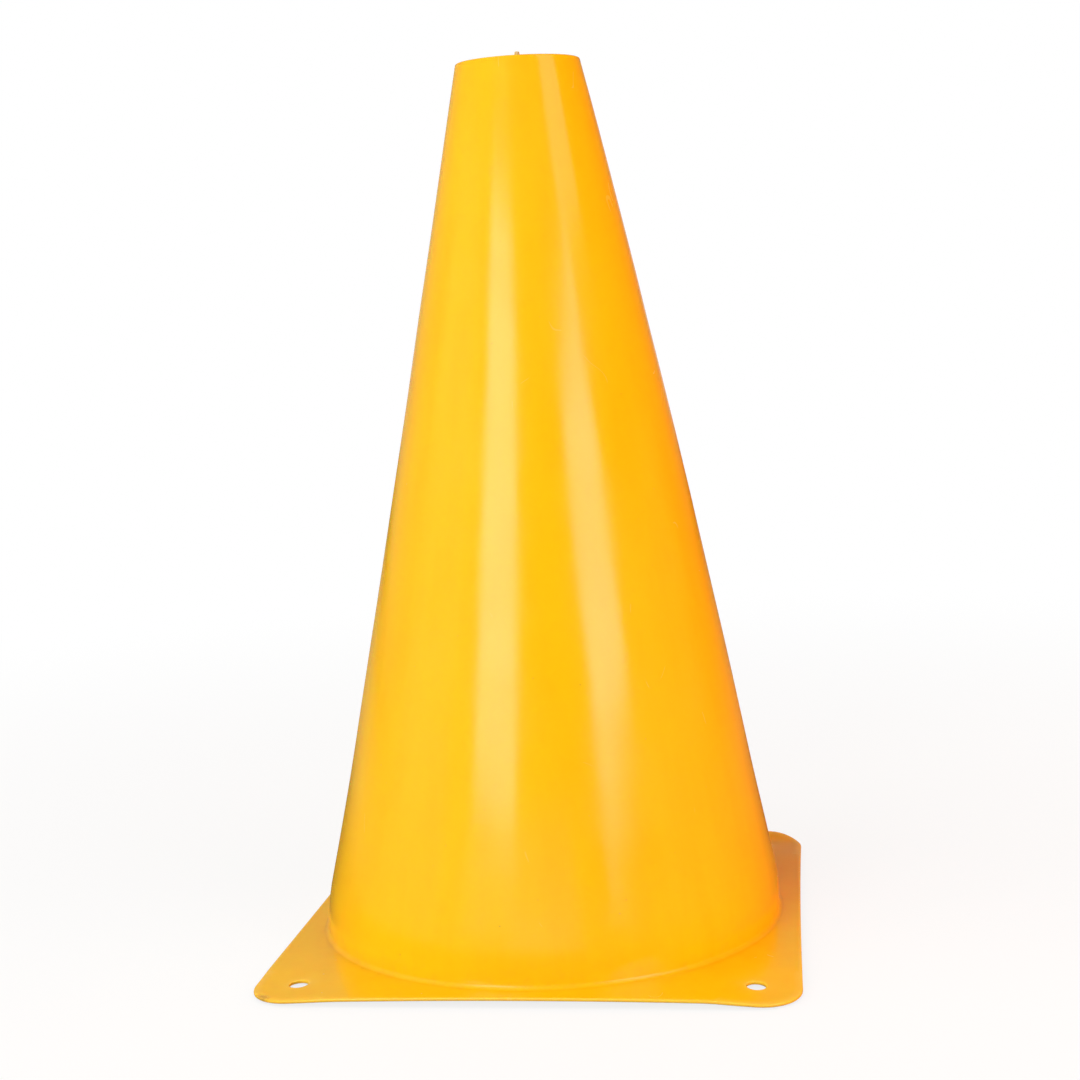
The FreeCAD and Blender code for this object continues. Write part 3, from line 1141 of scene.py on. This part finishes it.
@dataclass
class Studio:
    """Floor, lamps, surroundings and camera.

    Attributes:
        floor_size: The floor's width.
        floor_finish: The floor's finish.
        lamps: The lamps.
        lens: The camera's focal length, in millimetres.
        camera_bearing: Angle from -Y towards +X at which the camera stands.
        camera_distance: Its distance from the cone's axis.
        camera_height: Its height.
        camera_turn: How far it turns away from the axis, to its left if positive.
        camera_nod: How far it tips up, or down if negative.
        camera_roll: How far it rolls about its own line of sight.
        room: Brightness of the room to the camera's left and to its right.
        ceiling: Brightness above the room's left side and above its right side.
    """

    floor_size: float = 12.0
    floor_finish: StudioFloor = StudioFloor()
    lamps: tuple[Softbox, ...] = (
        Softbox(
            "left_softbox",
            bearing=-22.5, distance=0.85, height=0.373,
            width=0.38, length=0.444, radiance=3.7,
            lean=-2,
        ),
        Softbox(
            "right_softbox",
            bearing=45, distance=0.85, height=0.322,
            width=0.37, length=0.346, radiance=3.6,
            lean=15,
        ),
        Softbox(
            "high_right_softbox",
            bearing=65, distance=0.85, height=0.97,
            width=0.57, length=0.8, radiance=1.4,
        ),
        Softbox(
            "left_overhead",
            bearing=-33, distance=0.5, height=1.05,
            width=0.7, length=0.7, radiance=2.4,
            mirrored=False,
        ),
        Softbox(
            "right_overhead",
            bearing=70, distance=0.6, height=1.1,
            width=0.6, length=0.6, radiance=0.4,
            mirrored=False, tint=(1.0, 0.8, 0.6),
        ),
        Softbox(
            "left_fill",
            bearing=-70, distance=1.2, height=0.4,
            width=0.9, length=0.7, radiance=4.6,
            mirrored=False, tint=(1.0, 0.83, 0.7),
        ),
        Softbox(
            "right_fill",
            bearing=88, distance=0.7, height=0.12,
            width=0.7, length=0.24, radiance=9.5,
            mirrored=False, tint=(1.0, 0.44, 0.2),
        ),
        Softbox(
            "front_fill",
            bearing=3, distance=0.5, height=0.04,
            width=0.3, length=0.08, radiance=7.0,
            mirrored=False,
        ),
        Softbox(
            "back_fill",
            bearing=185, distance=1.2, height=0.5,
            width=1.2, length=0.8, radiance=1.4,
            mirrored=False,
        ),
    )
    lens: float = 58.42
    camera_bearing: float = 0.1516
    camera_distance: float = 0.46871
    camera_height: float = 0.16081
    camera_turn: float = -0.0026
    camera_nod: float = -0.1202
    camera_roll: float = 0.0509
    room: tuple[float, float] = (0.26, 0.03)
    ceiling: tuple[float, float] = (0.33, 0.08)

    def build_camera(self) -> bpy.types.Object:
        """Build the camera.

        Returns:
            The camera.
        """
        data = bpy.data.cameras.new("camera")
        data.lens = self.lens
        data.sensor_width = 36.0
        data.clip_start, data.clip_end = 0.01, 50.0
        camera = bpy.data.objects.new("camera", data)
        bearing, distance = self.camera_bearing, self.camera_distance
        camera.location = (distance * math.sin(bearing), -distance * math.cos(bearing), self.camera_height)
        heading = Matrix.Rotation(bearing + self.camera_turn, 3, "Z")
        nod = Matrix.Rotation(self.camera_nod, 3, "X")
        roll = Matrix.Rotation(self.camera_roll, 3, "Y")
        looks_along_y = Matrix.Rotation(math.pi / 2, 3, "X")
        camera.rotation_euler = (heading @ nod @ roll @ looks_along_y).to_euler()
        bpy.context.scene.collection.objects.link(camera)
        bpy.context.scene.camera = camera
        return camera

    def build_floor(self) -> bpy.types.Object:
        """Build the floor.

        Returns:
            The floor.
        """
        half = self.floor_size / 2
        mesh = bpy.data.meshes.new("floor")
        mesh.from_pydata(
            [(-half, -half, 0), (half, -half, 0), (half, half, 0), (-half, half, 0)], [], [(0, 1, 2, 3)]
        )
        mesh.materials.append(self.floor_finish.make())
        floor = bpy.data.objects.new("floor", mesh)
        floor.location.z = -0.02 * MM
        bpy.context.scene.collection.objects.link(floor)
        return floor

    def build_surroundings(self) -> None:
        """Surround the object with a dim room, a pale ceiling and a white backdrop."""
        world = bpy.data.worlds.new("studio")
        bpy.context.scene.world = world
        world.use_nodes = True
        graph = Graph(world.node_tree)
        direction = graph.node("TexCoord", output="Generated")
        bearing = self.camera_bearing
        right = (math.cos(bearing), math.sin(bearing), 0.0)
        towards_camera = (math.sin(bearing), -math.cos(bearing), 0.0)
        aside = graph.along(direction, right)
        ahead = graph.along(direction, towards_camera)
        up = graph.node("SeparateXYZ", {}, {"Vector": direction}, output="Z")
        room = aside.ramp(-0.3, 0.9, *self.room) * ahead.ramp(0.8, 0.98, 1.0, 0.25)
        above = up.ramp(0.5, 0.75)
        light = room * (1 - above) + aside.ramp(-0.6, 0.6, *self.ceiling) * above
        backdrop = ahead.ramp(-0.99, -0.88, 0.5, 0.0) * up.ramp(0.12, 0.26, 1.0, 0.1)
        seen = graph.node("LightPath", output="Is Camera Ray")
        strength = light.at_least(backdrop).at_least(seen)
        background = graph.node("Background", {}, {"Color": (1.0, 1.0, 1.0, 1.0), "Strength": strength})
        graph.node("OutputWorld", {}, {"Surface": background})

    def build(self) -> None:
        """Build the floor, the surroundings and the lamps."""
        self.build_floor()
        self.build_surroundings()
        for lamp in self.lamps:
            lamp.build()
            LOG.info("lamp %s", lamp.name)


def peg_holes() -> tuple[float, float]:
    """Read the peg holes' place and radius from the part's record.

    Returns:
        Their distance from the axis along X and Y, and their radius, in metres.
    """
    mount = next(m for m in frame["record"]["mounts"] if m["name"] == "peg_holes")
    return mount["dims"]["spacing_x_mm"] / 2 * MM, mount["dims"]["hole_r_mm"] * MM


def main() -> None:
    """Build the studio and the cone."""
    logging.basicConfig(level=logging.INFO, format="%(name)s: %(message)s")
    studio = Studio()
    studio.build_camera()
    bpy.context.scene.view_settings.view_transform = "Standard"
    studio.build()

    gate_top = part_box("crown")[1].z
    hole_place, hole_radius = peg_holes()
    half_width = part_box("base_flange")[1].x - SHRINKAGE
    flange = Flange(half_width=half_width, hole_place=hole_place, hole_radius=hole_radius)
    cone = MouldedCone(height=gate_top - GATE_HEIGHT, gate_top=gate_top, flange=flange)
    piece = cone.build()
    cone.dress(piece)
    LOG.info("%s: %d faces", piece.name, len(piece.data.polygons))


if __name__ == "__main__":
    main()
